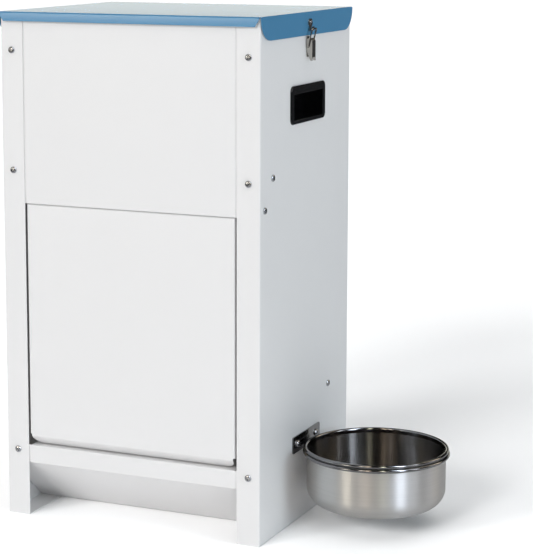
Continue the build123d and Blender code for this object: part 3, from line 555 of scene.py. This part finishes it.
def makeScrews():
    seats = []
    screwNodes = [name for name in remade if name.endswith("_screws")]
    for nodeName in screwNodes:
        seats += screwSeats(nodeName)
    mesh = bpy.data.meshes.new("screwSeats")
    mesh.from_pydata([seat for seat, _, _ in seats], [], [])
    mesh.attributes.new("facing", "FLOAT_VECTOR", "POINT")
    mesh.attributes.new("shankLength", "FLOAT", "POINT")
    for i, (_, direction, shank) in enumerate(seats):
        mesh.attributes["facing"].data[i].vector = direction
        mesh.attributes["shankLength"].data[i].value = shank
    holder = bpy.data.objects.new("screwSeats", mesh)
    bpy.context.scene.collection.objects.link(holder)
    tree = makeScrewTree(finishes["zincPlate"])
    modifier = holder.modifiers.new("screws", "NODES")
    modifier.node_group = tree
    values = {
        "Head Radius": screw["headRadius"],
        "Head Height": screw["headHeight"],
        "Dome Share": screw["domeShare"],
        "Recess Length": screw["recessLength"],
        "Recess Width": screw["recessWidth"],
        "Recess Depth": screw["recessDepth"],
        "Shank Radius": screw["shankRadius"],
        "Seed": screw["seed"],
    }
    for item in tree.interface.items_tree:
        if item.in_out == "INPUT" and item.name in values:
            modifier[item.identifier] = values[item.name]
    graph = bpy.context.evaluated_depsgraph_get()
    plain = bpy.data.meshes.new_from_object(holder.evaluated_get(graph), depsgraph=graph)
    bpy.data.objects.remove(holder)
    piece = bpy.data.objects.new("cabinetScrews", plain)
    bpy.context.scene.collection.objects.link(piece)
    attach(piece, "cabinet")
    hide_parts(*screwNodes)
    print("screws made:", len(seats), "seats,", len(plain.polygons), "faces")


makeScrews()


studio = {
    "floorHex": "F7F7F7",
    "floorReflectedHex": "B6B6B7",
    "floorFarHex": "38393C",
    "floorFade": (0.7, 1.9),     # distances from the middle, in metres
    "floorRoughness": 0.9,
    "floorSpecular": 0.1,
    "floorSize": 80.0,
    "skyHex": "FFFFFF",
    "coolHex": "EEF6FF",
    "coolFrom": (-0.2, 0.8),     # from left to right, as a share of the direction
    "skyFront": 0.05,
    "skyBack": 0.25,
    "skyFrom": (-0.8, 0.8),      # from front to back
    "keyPlace": (-0.4, -3.7, 1.75),
    "keyAngle": 18.0,
    "keyPower": 0.78,
    "leftPlace": (-1.75, -3.05, 1.5),
    "leftAngle": 18.0,
    "leftPower": 0.8,
    "topPlace": (0.0, 0.0, 4.0),
    "topAngle": 85.0,
    "topPower": 0.8,
    "fillPower": 0.85,
    "floorKeyPower": 0.95,
    "floorLeftPower": 0.85,
    "sidePlace": (4.0, -0.95, 1.0),
    "sideAngle": 22.0,
    "sidePower": 0.95,
    "sideHex": "E4F5FF",
}


# Floor: pale to the eye, but where metal mirrors it, it is a grey table that ends in a dark room
def makeFloor():
    half = studio["floorSize"] / 2
    corners = [(-half, -half, 0), (half, -half, 0), (half, half, 0), (-half, half, 0)]
    mesh = bpy.data.meshes.new("studioFloor")
    mesh.from_pydata(corners, [], [(0, 1, 2, 3)])
    material, tree, shader = newMaterial("paleFloor", {
        "Base Color": linearColour(studio["floorHex"]), "Roughness": studio["floorRoughness"],
        "Specular IOR Level": studio["floorSpecular"]})
    place = addNode(tree, "ShaderNodeTexCoord")
    away = addNode(tree, "ShaderNodeVectorMath", {"operation": "LENGTH"}, {0: place.outputs["Object"]})
    fade = addNode(tree, "ShaderNodeMapRange", {"interpolation_type": "SMOOTHSTEP"}, {
        0: away.outputs["Value"], 1: studio["floorFade"][0], 2: studio["floorFade"][1]})
    mirrored = addNode(tree, "ShaderNodeMix", {"data_type": "RGBA"}, {
        0: fade.outputs[0], 6: linearColour(studio["floorReflectedHex"]),
        7: linearColour(studio["floorFarHex"])})
    ray = addNode(tree, "ShaderNodeLightPath")
    tint = addNode(tree, "ShaderNodeMix", {"data_type": "RGBA"}, {
        0: ray.outputs["Is Glossy Ray"], 6: linearColour(studio["floorHex"]), 7: mirrored.outputs[2]})
    tree.links.new(tint.outputs[2], shader.inputs["Base Color"])
    mesh.materials.append(material)
    floor = bpy.data.objects.new("studioFloor", mesh)
    bpy.context.scene.collection.objects.link(floor)
    return floor


# A far lamp that shines from a place towards the origin
def addLamp(name, place, angle, power, hexText="FFFFFF", shadow=True, only=None):
    data = bpy.data.lights.new(name, "SUN")
    data.angle = math.radians(angle)
    data.energy = power
    data.color = linearColour(hexText)[:3]
    data.use_shadow = shadow
    lamp = bpy.data.objects.new(name, data)
    lamp.location = place
    lamp.rotation_mode = "QUATERNION"
    lamp.rotation_quaternion = (-Vector(place)).to_track_quat("-Z", "Y")
    lamp.visible_glossy = False
    bpy.context.scene.collection.objects.link(lamp)
    if only:
        lamp.light_linking.receiver_collection = only


# What glossy surfaces mirror: bright panels in a dim room, seen low and seen high;
# each row is an angle round the upright axis in degrees, half width, soft edge, brightness and hex
lowPanels = [
    (-146, 3, 6, 2.2, "FAF8F0"),
    (-118, 2, 8, 10.0, "FFF5E2"),
    (-88, 2, 3, 0.3, "FFE9D0"),
    (-60, 2, 4, 0.2, "F4F0DC"),
    (-28, 3, 6, 2.6, "EEF4FF"),
    (26, 3, 8, 1.7, "E8EEFF"),
    (114, 36, 4, 1.3, "FFFDF0"),
]
highPanels = [
    (-138, 1, 3, 1.2, "F2F6FF"),
    (-95, 1, 2, 6.5, "FFF1E2"),
    (-84, 2, 2, 4.5, "FFE9CE"),
    (-58, 1, 2, 8.0, "FAF6DA"),
    (-28, 3, 2, 20.0, "E6F0FF"),
    (-3, 1, 3, 9.0, "F4F8FF"),
    (45, 3, 5, 3.5, "FFEED4"),
]
room = {"dim": 0.025, "ceiling": 0.04}
changeHeights = {"panels": (0.12, 0.26), "ceiling": (0.8, 0.95)}  # sines of the elevation


# Writes a ring of panels into a colour ramp that runs once round, from -180 to 180 degrees
def fillPanelRamp(ramp, panels):
    ramp.interpolation = "EASE"
    dim = room["dim"]
    marks = []
    for angle, half, edge, brightness, hexText in panels:
        shade = [c * brightness for c in linearColour(hexText)[:3]]
        marks += [(angle - half - edge, [dim] * 3), (angle - half, shade)]
        marks += [(angle + half, shade), (angle + half + edge, [dim] * 3)]
    marks.sort(key=lambda mark: mark[0])
    while len(ramp.elements) < len(marks):
        ramp.elements.new(1.0)
    for element, (angle, _) in zip(ramp.elements, marks):
        element.position = (angle + 180) / 360
    for element, (_, shade) in zip(ramp.elements, marks):
        element.color = (*shade, 1.0)


# Matt surfaces are lit by an even sky, slightly cool from the right;
# gloss mirrors the panels, and the eye sees white
def makeSky():
    world = bpy.data.worlds.new("studioSky")
    world.use_nodes = True
    tree = world.node_tree
    tree.nodes.clear()
    way = addNode(tree, "ShaderNodeTexCoord")
    parts = addNode(tree, "ShaderNodeSeparateXYZ", inputs={0: way.outputs["Generated"]}).outputs
    cool = addNode(tree, "ShaderNodeMapRange", {"interpolation_type": "SMOOTHSTEP"}, {
        0: parts[0], 1: studio["coolFrom"][0], 2: studio["coolFrom"][1]})
    sky = addNode(tree, "ShaderNodeMix", {"data_type": "RGBA"}, {
        0: cool.outputs[0], 6: linearColour(studio["skyHex"]), 7: linearColour(studio["coolHex"])})
    angle = addNode(tree, "ShaderNodeMath", {"operation": "ARCTAN2"}, {0: parts[1], 1: parts[0]})
    turn = addNode(tree, "ShaderNodeMapRange", inputs={0: angle.outputs[0], 1: -math.pi, 2: math.pi})
    rings = []
    for panels in (lowPanels, highPanels):
        ring = addNode(tree, "ShaderNodeValToRGB", inputs={0: turn.outputs[0]})
        fillPanelRamp(ring.color_ramp, panels)
        rings.append(ring.outputs[0])
    mirrored = rings[0]
    ceiling = (room["ceiling"], room["ceiling"], room["ceiling"], 1.0)
    for upper, change in ((rings[1], changeHeights["panels"]), (ceiling, changeHeights["ceiling"])):
        height = addNode(tree, "ShaderNodeMapRange", {"interpolation_type": "SMOOTHSTEP"}, {
            0: parts[2], 1: change[0], 2: change[1]})
        level = addNode(tree, "ShaderNodeMix", {"data_type": "RGBA"}, {
            0: height.outputs[0], 6: mirrored, 7: upper})
        mirrored = level.outputs[2]
    strength = addNode(tree, "ShaderNodeMapRange", {"interpolation_type": "SMOOTHSTEP"}, {
        0: parts[1], 1: studio["skyFrom"][0], 2: studio["skyFrom"][1],
        3: studio["skyFront"], 4: studio["skyBack"]})
    diffuse = addNode(tree, "ShaderNodeBackground", inputs={0: sky.outputs[2], 1: strength.outputs[0]})
    glossy = addNode(tree, "ShaderNodeBackground", inputs={0: mirrored, 1: 1.0})
    white = addNode(tree, "ShaderNodeBackground", inputs={0: linearColour(studio["skyHex"]), 1: 1.0})
    ray = addNode(tree, "ShaderNodeLightPath").outputs
    both = addNode(tree, "ShaderNodeMixShader", inputs={
        0: ray["Is Glossy Ray"], 1: diffuse.outputs[0], 2: glossy.outputs[0]})
    seen = addNode(tree, "ShaderNodeMixShader", inputs={
        0: ray["Is Camera Ray"], 1: both.outputs[0], 2: white.outputs[0]})
    addNode(tree, "ShaderNodeOutputWorld", inputs={"Surface": seen.outputs[0]})
    bpy.context.scene.world = world


camera = {
    "place": (0.928355, -2.09297, 0.71655),
    "yaw": math.radians(24.262),
    "pitch": math.radians(8.670),
    "focalPixels": 1921.55,
    "longSide": 554,
    "sensor": 36.0,
    "farEnd": 200.0,
    "shift": (0.06, -0.12),
}


def makeCamera():
    data = bpy.data.cameras.new("photoCamera")
    data.sensor_width = camera["sensor"]
    data.lens = camera["focalPixels"] * data.sensor_width / camera["longSide"]
    data.shift_x, data.shift_y = camera["shift"]
    data.clip_end = camera["farEnd"]
    view = bpy.data.objects.new("photoCamera", data)
    view.location = camera["place"]
    view.rotation_euler = (math.pi / 2 - camera["pitch"], 0.0, camera["yaw"])
    bpy.context.scene.collection.objects.link(view)
    bpy.context.scene.camera = view


# The front and left lamps have a second lamp each for the floor alone, which is brighter than the cabinet
floorOnly = bpy.data.collections.new("floorOnly")
floorOnly.objects.link(makeFloor())
makeSky()
addLamp("keyLight", studio["keyPlace"], studio["keyAngle"], studio["keyPower"])
addLamp("leftLight", studio["leftPlace"], studio["leftAngle"], studio["leftPower"])
addLamp("topLight", studio["topPlace"], studio["topAngle"], studio["topPower"])
addLamp("floorFill", studio["topPlace"], studio["topAngle"], studio["fillPower"], shadow=False)
addLamp("floorKey", studio["keyPlace"], studio["keyAngle"], studio["floorKeyPower"], only=floorOnly)
addLamp("floorLeft", studio["leftPlace"], studio["leftAngle"], studio["floorLeftPower"], only=floorOnly)
addLamp("sideLight", studio["sidePlace"], studio["sideAngle"], studio["sidePower"], studio["sideHex"])
makeCamera()
bpy.context.scene.view_settings.view_transform = "Standard"
print("studio ready")
